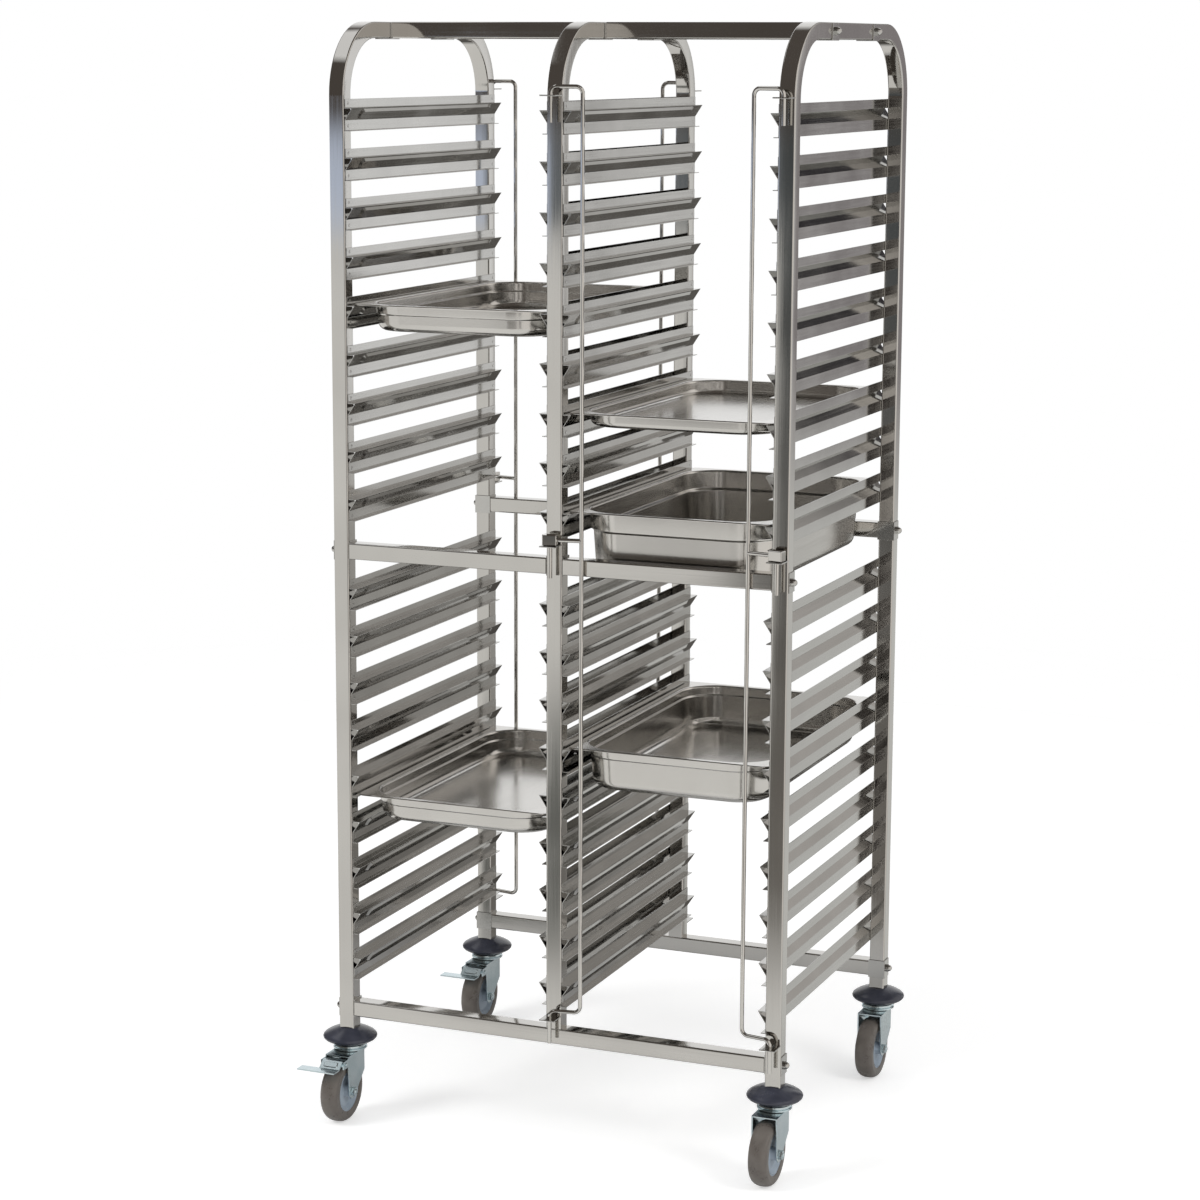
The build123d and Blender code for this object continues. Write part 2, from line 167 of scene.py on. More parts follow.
def piece(bm, name, body, finish, slot, *nodes):
    """Turns a drawing in millimetres into a piece that rides a body and stands for its solids."""
    bmesh.ops.scale(bm, vec=[1 / PER_METRE] * 3, verts=bm.verts)
    bmesh.ops.recalc_face_normals(bm, faces=bm.faces)
    mesh = bpy.data.meshes.new(name)
    bm.to_mesh(mesh)
    bm.free()
    mesh.shade_smooth()
    mesh.set_sharp_from_angle(angle=SHARP_ANGLE)
    mesh.materials.append(finish)
    made = bpy.data.objects.new(name, mesh)
    bpy.context.scene.collection.objects.link(made)
    made.modifiers.new("even_faces", "WEIGHTED_NORMAL").keep_sharp = True
    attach(made, body)
    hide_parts(*nodes)


# Polished tube: a warm grey mirror. The lines are drawn about 2 mm apart, coarser than real
# polishing lines, so that they still show as faint streaks from across a room.
polished_tube = finish_of(
    "polished_stainless_tube",
    "#BFBDB9",
    "#C9C7C3",
    metallic=1,
    rough=(0.04, 0.10),
    grain=(2.38, 2.38, 167),
    smudge=140,
    depth=0.02,
)

for node in ("left_hoop", "middle_hoop", "right_hoop"):
    low, high = corners_of(node)
    x = (low.x + high.x) / 2
    leg = HOOP_TOP - BEND - low.z
    bm = bmesh.new()
    end = square_end(bm, Matrix.Translation((x, -POST_Y, low.z)))
    end = run_on(bm, end, (0, 0, leg))
    centre = (x, BEND - POST_Y, HOOP_TOP - BEND)
    end = bend_on(bm, end, centre, (1, 0, 0), -90, BEND_STEPS)
    end = run_on(bm, end, (0, 2 * (POST_Y - BEND), 0))
    centre = (x, POST_Y - BEND, HOOP_TOP - BEND)
    end = bend_on(bm, end, centre, (1, 0, 0), -90, BEND_STEPS)
    run_on(bm, end, (0, 0, -leg))
    piece(bm, f"{node}_tube", "frame", polished_tube, "stainless", node)

# Cross bars: straight lengths of the same square tube, sawn square, that hold the hoops apart
# at the top, at mid height and near the floor. Their ends sit in saddles.
BAR_NAMES = ("top_bar_", "mid_bar_", "low_bar_")


def spun(degrees, axis):
    """A turn about one axis through the origin."""
    return Matrix.Rotation(radians(degrees), 4, axis)


# Polished bar: the finish of the hoops, with its faint lines along the width of the trolley.
polished_bar = finish_of(
    "polished_stainless_bar",
    "#BFBDB9",
    "#C9C7C3",
    metallic=1,
    rough=(0.04, 0.10),
    grain=(167, 2.38, 2.38),
    smudge=140,
    depth=0.02,
)

for node in (n for n in sorted(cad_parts) if n.startswith(BAR_NAMES)):
    low, high = corners_of(node)
    middle = (low + high) / 2
    bm = bmesh.new()
    sawn = Matrix.Translation((low.x, middle.y, middle.z)) @ spun(90, "Y")
    run_on(bm, square_end(bm, sawn), (high.x - low.x, 0, 0))
    piece(bm, f"{node}_tube", "frame", polished_bar, "stainless", node)

# Saddles: short U-shaped brackets bent from strip, one round each bar's end, that are bolted
# through the hoop. Their edges are tumbled, so they catch a thin line of light.
STRIP_EDGE = 0.45
EDGE_STEPS = 2
JOIN = 0.005
FLAT_ANGLE = radians(1)
CORNER_ANGLE = radians(25)


def broken(bm, edges, radius, steps, clamp=False):
    """Rounds some edges off."""
    bmesh.ops.bevel(
        bm,
        geom=edges,
        offset=radius,
        affect="EDGES",
        segments=steps,
        profile=0.5,
        material=-1,
        clamp_overlap=clamp,
    )


def eased(node, radius):
    """A solid's mesh in millimetres, joined up, with its sharp edges broken."""
    bm = bmesh.new()
    bm.from_mesh(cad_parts[node].data)
    bmesh.ops.scale(bm, vec=[PER_METRE] * 3, verts=bm.verts)
    bmesh.ops.remove_doubles(bm, verts=bm.verts, dist=JOIN)
    bmesh.ops.dissolve_limit(bm, angle_limit=FLAT_ANGLE, verts=bm.verts, edges=bm.edges)
    sharp = [e for e in bm.edges if e.is_manifold and e.calc_face_angle() > CORNER_ANGLE]
    broken(bm, sharp, radius, EDGE_STEPS, clamp=True)
    bmesh.ops.remove_doubles(bm, verts=bm.verts, dist=JOIN)
    return bm


# Strip steel: the same polish on flat strip, a little duller. Its lines run along the depth
# of the trolley, and are as coarse as those on the tubes.
polished_strip = finish_of(
    "polished_stainless_strip",
    "#B8B7B4",
    "#C3C2BF",
    metallic=1,
    rough=(0.07, 0.15),
    grain=(2.38, 167, 2.38),
    smudge=100,
    depth=0.006,
)

for node in ("top_saddles", "mid_saddles", "low_saddles"):
    strip = eased(node, STRIP_EDGE)
    piece(strip, f"{node}_strip", "frame", polished_strip, "stainless", node)

# Bolts: stainless dome nuts with a washer, on the outer faces of the outer hoops, that pull
# the saddles and bars against them. Turned and polished.
WASHER_R = 8.0
WASHER_T = 1.2
WASHER_EDGE = 0.3
NUT_R = 6.2
NUT_H = 3.5
DOME_R = 5.4
DOME_STEPS = 5
BOLT_STEPS = 12
HALF_WIDTH = 370.0
# Each row's distance from the middle of the depth, and its height.
BOLT_ROWS = ((100.0, HOOP_TOP), (POST_Y, 915.0), (POST_Y, 179.0))
SEAM = 0.001


def turned(bm, profile, place, steps):
    """Turns a profile of (along, radius) points about X, and puts it in place."""
    before = set(bm.verts)
    points = [bm.verts.new((along, 0, radius)) for along, radius in profile]
    edges = [bm.edges.new(pair) for pair in zip(points, points[1:])]
    bmesh.ops.spin(
        bm,
        geom=points + edges,
        cent=(0, 0, 0),
        axis=(1, 0, 0),
        angle=2 * pi,
        steps=steps,
        use_merge=True,
    )
    bmesh.ops.remove_doubles(bm, verts=[v for v in bm.verts if v not in before], dist=SEAM)
    bmesh.ops.transform(bm, matrix=place, verts=[v for v in bm.verts if v not in before])


def arc(middle, radius, start, stop, steps):
    """Points of a round in a profile, from one angle in degrees to another."""
    turns = [radians(start + (stop - start) * n / steps) for n in range(steps + 1)]
    return [(middle[0] + radius * cos(t), middle[1] + radius * sin(t)) for t in turns]


bolt_profile = [
    (0, 0),
    (0, WASHER_R),
    (WASHER_T - WASHER_EDGE, WASHER_R),
    (WASHER_T, WASHER_R - WASHER_EDGE),
    (WASHER_T, NUT_R),
    (WASHER_T + NUT_H, NUT_R),
    *arc((WASHER_T + NUT_H, 0), DOME_R, 90, 0, DOME_STEPS),
]
bm = bmesh.new()
for side, turn in ((1, 0), (-1, 180)):
    for y, z in BOLT_ROWS:
        for end in (-1, 1):
            seat = Matrix.Translation((side * HALF_WIDTH, end * y, z))
            turned(bm, bolt_profile, seat @ spun(turn, "Z"), BOLT_STEPS)
piece(bm, "frame_bolts", "frame", polished_strip, "stainless")

# Runners: strips folded along their length into a flange, a shelf, a sloping web, a second
# flange and a lip. A long bead is pressed into each web between the posts, to stiffen it,
# and each runner is spot-welded to a hoop's posts at its four corners.
RUNNER_T = 1.2
RUNNER_EDGE = 0.35
WEB_MIDDLE = (7.28, 22.25)
WEB_LEAN = 33.3
BEAD = (480.0, 19.0)
BEAD_END = 8.0
BEAD_H = 2.2
BEAD_SUNK = 0.2
BEAD_TOP = (0.97, 0.66)
BEAD_SHIFT = -1.75
WELD_R = 2.6
WELD_EDGE = 0.5
WELD_H = 0.35
WELD_DISH = 0.15
WELD_SUNK = 0.2
WELD_STEPS = 8
WELD_DROPS = (6.0, 40.0)
UPPER_TOP = 1603.1
LOWER_TOP = 869.3
PITCH = 74.3
LEVELS = 9
# The face of the post that each column is welded to, and the way from it to the bay.
COLUMNS = {
    "runners_left": (TUBE - HALF_WIDTH, 1),
    "runners_middle_left": (-TUBE / 2, -1),
    "runners_middle_right": (TUBE / 2, 1),
    "runners_right": (HALF_WIDTH - TUBE, -1),
}

weld_profile = [
    (-WELD_SUNK, 0),
    (-WELD_SUNK, WELD_R),
    (0, WELD_R),
    (WELD_H, WELD_R - WELD_EDGE),
    (WELD_DISH, 0),
]


def pressed(bm, size, corner, height, kept, shift, place):
    """Adds a raised press with round corners. Its top keeps a share of its size, and shifts."""
    pad = bmesh.ops.create_grid(bm, x_segments=1, y_segments=1, size=0.5)["verts"]
    bmesh.ops.scale(bm, vec=(*size, 1), verts=pad)
    foot = rounded(bm, pad, corner, CORNER_STEPS)
    top = run_on(bm, foot, (0, 0, height))
    bmesh.ops.scale(bm, vec=(*kept, 1), verts=top.verts)
    bmesh.ops.translate(bm, vec=(0, shift, 0), verts=top.verts)
    bmesh.ops.transform(bm, matrix=place, verts=[*foot.verts, *top.verts])
    return top


tops = [first - PITCH * level for first in (UPPER_TOP, LOWER_TOP) for level in range(LEVELS)]
for node, (face, side) in COLUMNS.items():
    turn = spun(0 if side > 0 else 180, "Z")
    lean = turn @ spun(90 + WEB_LEAN, "Y") @ spun(90, "Z")
    sunk = lean @ Matrix.Translation((0, 0, -BEAD_SUNK))
    bm = eased(node, RUNNER_EDGE)
    for top in tops:
        web = Matrix.Translation((face + side * WEB_MIDDLE[0], 0, top - WEB_MIDDLE[1]))
        pressed(bm, BEAD, BEAD_END, BEAD_H + BEAD_SUNK, BEAD_TOP, BEAD_SHIFT, web @ sunk)
    piece(bm, f"{node}_strips", "frame", polished_strip, "stainless", node)
    bm = bmesh.new()
    for top in tops:
        for drop in WELD_DROPS:
            for y in (-POST_Y, POST_Y):
                seat = Matrix.Translation((face + side * RUNNER_T, y, top - drop))
                turned(bm, weld_profile, seat @ turn, WELD_STEPS)
    piece(bm, f"{node}_welds", "frame", polished_strip, "stainless")

# Gate tabs: small bored plates welded to the posts' outer faces, three to each gate.
# Cut from strip, with the edges broken.
strip = eased("gate_tabs", STRIP_EDGE)
piece(strip, "gate_tab_plates", "frame", polished_strip, "stainless", "gate_tabs")

# Gates: round rod bent into a long narrow frame, with its ends turned down as pins, and a small
# block at mid height that carries a third pin. They lift out or swing, and keep the pans in.
ROD_R = 3.2
ROD_SIDES = 14
GATE_BEND = 10.0
GATE_STEPS = 7
GATE_ARM = 48.0
TOP_RUN = 1625.0
LOW_RUN = 224.9
TOP_PIN_END = 1573.1
LOW_PIN_END = 173.0
BLOCK = (22.0, 15.0, 16.0)
BLOCK_Z = 949.8
BLOCK_EDGE = 1.5
BLOCK_STEPS = 3
MID_PIN = 50.0
HINGE_Y = 291.0
POST_X = HALF_WIDTH - TUBE / 2
# Each hinge's place along the width, its end of the trolley, and its gate's turn in degrees.
GATES = {
    "gate_front_middle": (0.0, -1, 10),
    "gate_front_right": (POST_X, -1, 170),
    "gate_rear_left": (-POST_X, 1, -10),
    "gate_rear_middle": (0.0, 1, 190),
}

# Drawn rod: bright and smooth from the die. The die's marks are drawn 5 mm wide, far coarser
# than real ones, and so faint that the rod has no lines to speak of.
drawn_rod = finish_of(
    "bright_drawn_rod",
    "#C6C4C0",
    "#D0CECA",
    metallic=1,
    rough=(0.04, 0.10),
    grain=(5, 5, 50),
    smudge=80,
    depth=0.01,
)


def rod_end(bm, place):
    """The end face of a round rod."""
    ring = bmesh.ops.create_circle(
        bm, cap_ends=True, segments=ROD_SIDES, radius=ROD_R, matrix=place
    )
    return ring["verts"][0].link_faces[0]


def rod_bend(bm, face, x, z, degrees):
    """Bends a gate's rod about a line along Y."""
    return bend_on(bm, face, (x, 0, z), (0, 1, 0), degrees, GATE_STEPS)


def edges_at(verts):
    """The edges that meet at some vertices, each of them once."""
    return list(dict.fromkeys(edge for vert in verts for edge in vert.link_edges))


for node, (hinge_x, end, turn) in GATES.items():
    bm = bmesh.new()
    face = rod_end(bm, Matrix.Translation((0, 0, TOP_PIN_END)))
    face = run_on(bm, face, (0, 0, TOP_RUN - GATE_BEND - TOP_PIN_END))
    face = rod_bend(bm, face, GATE_BEND, TOP_RUN - GATE_BEND, 90)
    face = run_on(bm, face, (GATE_ARM - 2 * GATE_BEND, 0, 0))
    face = rod_bend(bm, face, GATE_ARM - GATE_BEND, TOP_RUN - GATE_BEND, 90)
    face = run_on(bm, face, (0, 0, LOW_RUN - TOP_RUN + 2 * GATE_BEND))
    face = rod_bend(bm, face, GATE_ARM - GATE_BEND, LOW_RUN + GATE_BEND, 90)
    face = run_on(bm, face, (2 * GATE_BEND - GATE_ARM, 0, 0))
    face = rod_bend(bm, face, GATE_BEND, LOW_RUN - GATE_BEND, -90)
    run_on(bm, face, (0, 0, LOW_PIN_END - LOW_RUN + GATE_BEND))
    core = Matrix.Translation((0, 0, BLOCK_Z + BLOCK[2] / 2))
    run_on(bm, rod_end(bm, core @ spun(90, "Y")), (GATE_ARM, 0, 0))
    run_on(bm, rod_end(bm, Matrix.Translation((0, 0, BLOCK_Z))), (0, 0, -MID_PIN))
    block = bmesh.ops.create_cube(bm, size=1, matrix=core @ Matrix.Diagonal((*BLOCK, 1)))
    broken(bm, edges_at(block["verts"]), BLOCK_EDGE, BLOCK_STEPS)
    hinge = Matrix.Translation((hinge_x, end * HINGE_Y, 0)) @ spun(turn, "Z")
    bmesh.ops.transform(bm, matrix=hinge, verts=bm.verts)
    piece(bm, f"{node}_rod", node, drawn_rod, "stainless", node)

# Castor heads: a pressed race in two dished halves round a ring of balls, on a stem that plugs
# into the foot of the post. Bright zinc plate over steel.
CASTORS = {
    f"{end}_{side}": (x, y)
    for end, y in (("front", -POST_Y), ("rear", POST_Y))
    for side, x in (("left", -POST_X), ("right", POST_X))
}
RACE_Z = 110.8
RACE_STEPS = 40
UPRIGHT = spun(-90, "Y")

# Bright zinc: cool and blue beside the stainless, with a grainy, slightly milky shine. Its
# grain is drawn about 4 mm across, coarser than real plating, so that it shows.
bright_zinc = finish_of(
    "bright_zinc_plate",
    "#C0D0D5",
    "#D2DEE2",
    metallic=1,
    rough=(0.14, 0.26),
    grain=(3.85, 3.85, 3.85),
    smudge=30,
    depth=0.012,
)

race_profile = [
    (-4.5, 0),
    (-4.5, 5.5),
    (-3.8, 6.6),
    (0, 6.8),
    (0, 25.6),
    (0.6, 26.8),
    (3.2, 26.8),
    (4.0, 25.2),
    (4.8, 25.2),
    (5.4, 26.2),
    (7.4, 25.4),
    (10.2, 21.6),
    (10.2, 0),
]
bm = bmesh.new()
for x, y in CASTORS.values():
    turned(bm, race_profile, Matrix.Translation((x, y, RACE_Z)) @ UPRIGHT, RACE_STEPS)
piece(bm, "castor_races", "frame", bright_zinc, "zinc", "castor_stems")

# Bumpers: thick discs of dark moulded plastic, slipped over the stems under the posts, that keep
# the frame off walls. Round-edged, with a semi-gloss skin.
BUMPER_Z = 121.0
BUMPER_STEPS = 48

# Semi-gloss moulding: slate grey with a fine moulded grain, drawn about 1.4 mm across, which
# is coarser than the mould's own.
slate_plastic = finish_of(
    "slate_moulded_plastic",
    "#363842",
    "#41434E",
    metallic=0,
    rough=(0.17, 0.28),
    grain=(1.43, 1.43, 1.43),
    smudge=20,
    depth=0.02,
)

bumper_profile = [
    (0, 12.6),
    (0, 26.0),
    (0.9, 30.4),
    (2.8, 35.6),
    (5.2, 40.0),
    (7.6, 42.4),
    (10.0, 43.0),
    (12.2, 42.2),
    (14.4, 40.0),
    (17.4, 35.2),
    (20.4, 28.8),
    (22.8, 22.4),
    (24.3, 18.0),
    (25.0, 16.4),
    (25.0, 12.6),
    (0, 12.6),
]
bm = bmesh.new()
for x, y in CASTORS.values():
    turned(bm, bumper_profile, Matrix.Translation((x, y, BUMPER_Z)) @ UPRIGHT, BUMPER_STEPS)
piece(bm, "castor_bumper_discs", "frame", slate_plastic, "bumper", "castor_bumpers")

# Forks and axles: each fork is pressed from zinc-plated plate with tumbled edges, and each axle
# is a bolt through it, with a hexagon head on one cheek and a nut on the other.
FORK_EDGE = 0.7
FORK_OUT = 20.5
AXLE_R = 4.0
AXLE_TIP = 1.5
AXLE_CHAMFER = 1.0
AXLE_NUT_R = 7.5
AXLE_NUT_H = 5.5
AXLE_NUT_EDGE = 0.7
PIN_STEPS = 16
TRAIL = 33.0
WHEEL_R = 50.0

nut_end = FORK_OUT + AXLE_NUT_H
axle_profile = [
    (-nut_end, 0),
    (-nut_end, AXLE_R),
    (nut_end + AXLE_TIP - AXLE_CHAMFER, AXLE_R),
    (nut_end + AXLE_TIP, AXLE_R - AXLE_CHAMFER),
    (nut_end + AXLE_TIP, 0),
]
for name, (x, y) in CASTORS.items():
    fork, axle, swivel = f"fork_{name}", f"axle_{name}", f"swivel_{name}"
    piece(eased(fork, FORK_EDGE), f"{fork}_plate", swivel, bright_zinc, "zinc", fork)
    bm = bmesh.new()
    for side in (-1, 1):
        seat = Matrix.Translation((side * (FORK_OUT + AXLE_NUT_H / 2), 0, 0))
        nut = bmesh.ops.create_cone(
            bm,
            cap_ends=True,
            segments=6,
            radius1=AXLE_NUT_R,
            radius2=AXLE_NUT_R,
            depth=AXLE_NUT_H,
            matrix=seat @ spun(90, "Y"),
        )
        broken(bm, edges_at(nut["verts"]), AXLE_NUT_EDGE, EDGE_STEPS)
    turned(bm, axle_profile, Matrix.Identity(4), PIN_STEPS)
    bmesh.ops.translate(bm, verts=bm.verts, vec=(x, y - TRAIL, WHEEL_R))
    piece(bm, f"{axle}_bolt", swivel, bright_zinc, "zinc", axle)

# Pedals: the brake pedals of the two left castors, pressed from the same plated plate, each with
# a raised press on the wing for the shoe. A rivet through the fork's cheeks carries each one.
PEDAL_EDGE = 0.6
PEDAL_SLOPE = 36.16
PRESS = (24.0, 10.5)
PRESS_CORNER = 3.0
PRESS_H = 1.2
PRESS_TOP = (0.92, 0.84)
PRESS_EDGE = 0.5
PRESS_STEPS = 3
PRESS_Y = -68.0
PRESS_Z = 102.25
RIVET_R = 3.0
RIVET_CHAMFER = 0.8

for name in ("front_left", "rear_left"):
    pedal, pin, body = f"brake_pedal_{name}", f"pedal_pin_{name}", f"pedal_{name}"
    piece(eased(pedal, PEDAL_EDGE), f"{pedal}_plate", body, bright_zinc, "zinc", pedal)
    x, y = CASTORS[name]
    wing = Matrix.Translation((x, y + PRESS_Y, PRESS_Z)) @ spun(PEDAL_SLOPE, "X")
    bm = bmesh.new()
    top = pressed(bm, PRESS, PRESS_CORNER, PRESS_H, PRESS_TOP, 0, wing)
    broken(bm, top.edges, PRESS_EDGE, PRESS_STEPS)
    piece(bm, f"{pedal}_press", body, bright_zinc, "zinc")
    low, high = corners_of(pin)
    half = (high.x - low.x) / 2
    rivet_profile = [
        (-half, 0),
        (-half, RIVET_R - RIVET_CHAMFER),
        (-half + RIVET_CHAMFER, RIVET_R),
        (half - RIVET_CHAMFER, RIVET_R),
        (half, RIVET_R - RIVET_CHAMFER),
        (half, 0),
    ]
    bm = bmesh.new()
    turned(bm, rivet_profile, Matrix.Translation((low + high) / 2), PIN_STEPS)
    piece(bm, f"{pin}_rivet", f"swivel_{name}", bright_zinc, "zinc", pin)

# Wheels: a pale plastic hub with a dished web and a long boss, and a grey rubber tyre moulded
# round it. The tread is slightly crowned.
HUB_R = 33.0
HUB_STEPS = 48
TYRE_STEPS = 64

# Satin plastic: pale blue-grey and smooth from the mould, with a soft sheen. Its slight
# unevenness is drawn 2 mm across, coarser than the real one.
pale_plastic = finish_of(
    "pale_satin_plastic",
    "#9AA7B4",
    "#AFBAC5",
    metallic=0,
    rough=(0.38, 0.55),
    grain=(2, 2, 2),
    smudge=30,
    depth=0.08,
)

# Grey rubber: warm, with a low sheen and dust worn into the tread. The specks are drawn about
# 3 mm across, coarser than real dust.
grey_rubber = finish_of(
    "warm_grey_rubber",
    "#625C57",
    "#726C66",
    metallic=0,
    rough=(0.24, 0.40),
    grain=(2.86, 2.86, 2.86),
    smudge=20,
    depth=0.06,
)


def both_sides(half):
    """A wheel's profile from one half of it, closed into a loop."""
    return half + [(-along, radius) for along, radius in reversed(half) if along] + half[:1]


hub_profile = both_sides(
    [
        (17.5, 4.1),
        (17.5, 8.0),
        (16.6, 9.0),
        (9.5, 10.0),
        (8.0, 12.0),
        (7.6, 25.0),
        (9.0, 26.6),
        (12.4, 28.2),
        (13.0, 29.0),
        (13.0, 30.2),
        (12.1, 30.5),
        (12.1, 31.1),
        (13.0, 31.4),
        (13.0, HUB_R),
    ]
)
tyre_profile = both_sides(
    [
        (13.6, HUB_R),
        (14.6, 34.2),
        (15.0, 36.0),
        (15.0, 42.8),
        (14.6, 44.4),
        (13.2, 46.2),
        (10.8, 47.9),
        (7.5, 49.3),
        (3.8, 49.9),
        (0, WHEEL_R),
    ]
)
for name, (x, y) in CASTORS.items():
    seat = Matrix.Translation((x, y - TRAIL, WHEEL_R))
    bm = bmesh.new()
    turned(bm, hub_profile, seat, HUB_STEPS)
    piece(bm, f"hub_{name}_web", f"wheel_{name}", pale_plastic, "hub", f"hub_{name}")
    bm = bmesh.new()
    turned(bm, tyre_profile, seat, TYRE_STEPS)
    piece(bm, f"tyre_{name}_rubber", f"wheel_{name}", grey_rubber, "tyre", f"tyre_{name}")

# Pans: full-size gastronorm pans, pressed from thin stainless sheet, with a flat rim that slides
# on the runners, large round corners and a rounded foot. The deepest has a stacking shoulder,
# three have a smaller one, and the shallowest has none.
PAN_SIZE = (325.0, 530.0)
PAN_CORNER_STEPS = 10
RIM_TOP = 2.0
RIM_T = 1.5
# The rings of the rim's rolled edge: inset, corner and height.
ROLLED_EDGE = ((0.2, 14.0, 0.1), (0, 14.0, 0.7), (0.3, 14.0, 1.5), (1.2, 13.4, RIM_TOP))
BOWL_CORNER = 62.0
RIM = 11.5
RIM_BEND = 4.0
SHEET = 0.9
DRAFT = 0.07
# A quarter turn in five steps.
QUARTER = [radians(18 * n) for n in range(6)]
# The shoulders: how far down each ring is, and how far it steps in.
STACK_STEP = ((26.0, 0.0), (27.5, 0.7), (29.5, 3.3), (31.0, 4.0))
SMALL_STEP = ((12.0, 0.0), (12.9, 0.4), (14.1, 1.8), (15.0, 2.2))
# Each pan's depth, the round of its foot, and its shoulder.
PANS = {
    "pan_left_upper": (40.0, 13.0, SMALL_STEP),
    "pan_left_lower": (40.0, 13.0, SMALL_STEP),
    "pan_right_upper": (20.0, 9.0, ()),
    "pan_right_stacking": (100.0, 16.0, STACK_STEP),
    "pan_right_lower": (65.0, 16.0, SMALL_STEP),
}

# Satin sheet: pressed and brushed steel, softer than the tubes, so pans show broad pale sheens.
# The brushed lines are drawn about 3 mm apart, coarser than real ones, so that they show.
satin_sheet = finish_of(
    "satin_pressed_steel",
    "#C8C6C2",
    "#D3D1CD",
    metallic=1,
    rough=(0.15, 0.23),
    grain=(3.33, 200, 3.33),
    smudge=120,
    depth=0.006,
)


def outline(bm, inset, corner, z):
    """A rounded rectangle, inset from a pan's outer size, at a height."""
    pad = bmesh.ops.create_grid(bm, x_segments=1, y_segments=1, size=0.5)["verts"]
    size = (PAN_SIZE[0] - 2 * inset, PAN_SIZE[1] - 2 * inset, 1)
    bmesh.ops.scale(bm, vec=size, verts=pad)
    bmesh.ops.translate(bm, vec=(0, 0, z), verts=pad)
    return rounded(bm, pad, corner, PAN_CORNER_STEPS)


for node, (depth, foot, shoulder) in PANS.items():
    edge = RIM + SHEET
    step_in = 0.0
    wall = depth - foot
    bowl = []
    for turn in QUARTER:
        inset = edge - RIM_BEND * (1 - sin(turn))
        bowl.append((inset, RIM_TOP - RIM_BEND * (1 - cos(turn))))
    for drop, step_in in shoulder:
        bowl.append((edge + step_in + DRAFT * drop, -drop))
    for turn in QUARTER:
        inset = edge + step_in + DRAFT * wall + foot * (1 - cos(turn))
        bowl.append((inset, -wall - (foot - SHEET) * sin(turn)))
    rings = [*ROLLED_EDGE, *((inset, BOWL_CORNER + RIM - inset, z) for inset, z in bowl)]
    bm = bmesh.new()
    above = None
    for ring in rings:
        face = outline(bm, *ring)
        edges = list(face.edges)
        if above:
            bmesh.ops.bridge_loops(bm, edges=above + edges)
        if ring != rings[-1]:
            bmesh.ops.delete(bm, geom=[face], context="FACES_ONLY")
        above = edges
    bmesh.ops.recalc_face_normals(bm, faces=bm.faces)
    bmesh.ops.solidify(bm, geom=list(bm.faces), thickness=SHEET)
    low, high = corners_of(node)
    middle = (low + high) / 2
    bmesh.ops.translate(bm, verts=bm.verts, vec=(middle.x, middle.y, high.z - RIM_T))
    piece(bm, f"{node}_sheet", node, satin_sheet, "pan_steel", node)

# Floor: a white studio floor that keeps a soft shadow of the trolley and fades into the white
# surround. Its own glow is for the camera alone, so it puts no more light on the steel, and
# polished steel sees only the part of it near the castors, with the surround beyond.
FLOOR_R = 4.0
FLOOR_SIDES = 64
FLOOR_GLOW = 0.5
FADE = (1.0, FLOOR_R - 0.1)
MIRROR_FADE = (0.4, 0.75)

floor_mesh = bpy.data.meshes.new("studio_floor")
bm = bmesh.new()
bmesh.ops.create_circle(bm, cap_ends=True, segments=FLOOR_SIDES, radius=FLOOR_R)
bm.to_mesh(floor_mesh)
bm.free()

# White floor: matt paint, brighter to the camera than the light on it makes it, so that it
# runs into the white surround with no edge.
white_floor = bpy.data.materials.new("white_floor")
white_floor.use_nodes = True
tree = white_floor.node_tree
paint = tree.nodes["Principled BSDF"]
paint.inputs["Base Color"].default_value = linear("#E7E7E7")
paint.inputs["Roughness"].default_value = 0.9
paint.inputs["Emission Color"].default_value = linear("#FFFFFF")
rays = add(tree, "ShaderNodeLightPath").outputs
glow = add(tree, "ShaderNodeMapRange", {"Value": rays["Is Camera Ray"], "To Max": FLOOR_GLOW})
tree.links.new(glow.outputs["Result"], paint.inputs["Emission Strength"])
spot = add(tree, "ShaderNodeTexCoord").outputs["Object"]
away = add(tree, "ShaderNodeVectorMath", {0: spot}, operation="LENGTH").outputs["Value"]
fade, mirror_fade = (
    add(tree, "ShaderNodeMapRange", {"Value": away, "From Min": start, "From Max": stop})
    for start, stop in (FADE, MIRROR_FADE)
)
dim = add(
    tree,
    "ShaderNodeMath",
    {0: mirror_fade.outputs["Result"], 1: rays["Is Glossy Ray"]},
    operation="MULTIPLY",
)
thin = add(
    tree,
    "ShaderNodeMath",
    {0: fade.outputs["Result"], 1: dim.outputs[0]},
    operation="MAXIMUM",
)
clear = add(tree, "ShaderNodeBsdfTransparent").outputs["BSDF"]
shown = add(
    tree, "ShaderNodeMixShader", {0: thin.outputs[0], 1: paint.outputs["BSDF"], 2: clear}
)
tree.links.new(shown.outputs["Shader"], tree.nodes["Material Output"].inputs["Surface"])
floor_mesh.materials.append(white_floor)
floor = bpy.data.objects.new("studio_floor", floor_mesh)
bpy.context.scene.collection.objects.link(floor)

# Surround: white to the eye, and an even soft light on everything. Polished steel shows the
# studio instead: in front a dim room with a pale screen on its left, and behind a white sweep
# that is broken by dark flags. The numbers are parts of the direction that a reflection takes.
WHITE = "#FFFFFF"
PALE_WALL = "#F2EDE8"
PALE_FLOOR = "#F2F1EE"
DIM_WALL = "#59534E"
SOFT_LIGHT = 0.55
FULL_WHITE = 1.0

world = bpy.data.worlds.new("studio_surround")
world.use_nodes = True
tree = world.node_tree
facing = add(tree, "ShaderNodeTexCoord").outputs["Generated"]
way = add(tree, "ShaderNodeSeparateXYZ", {0: facing}).outputs


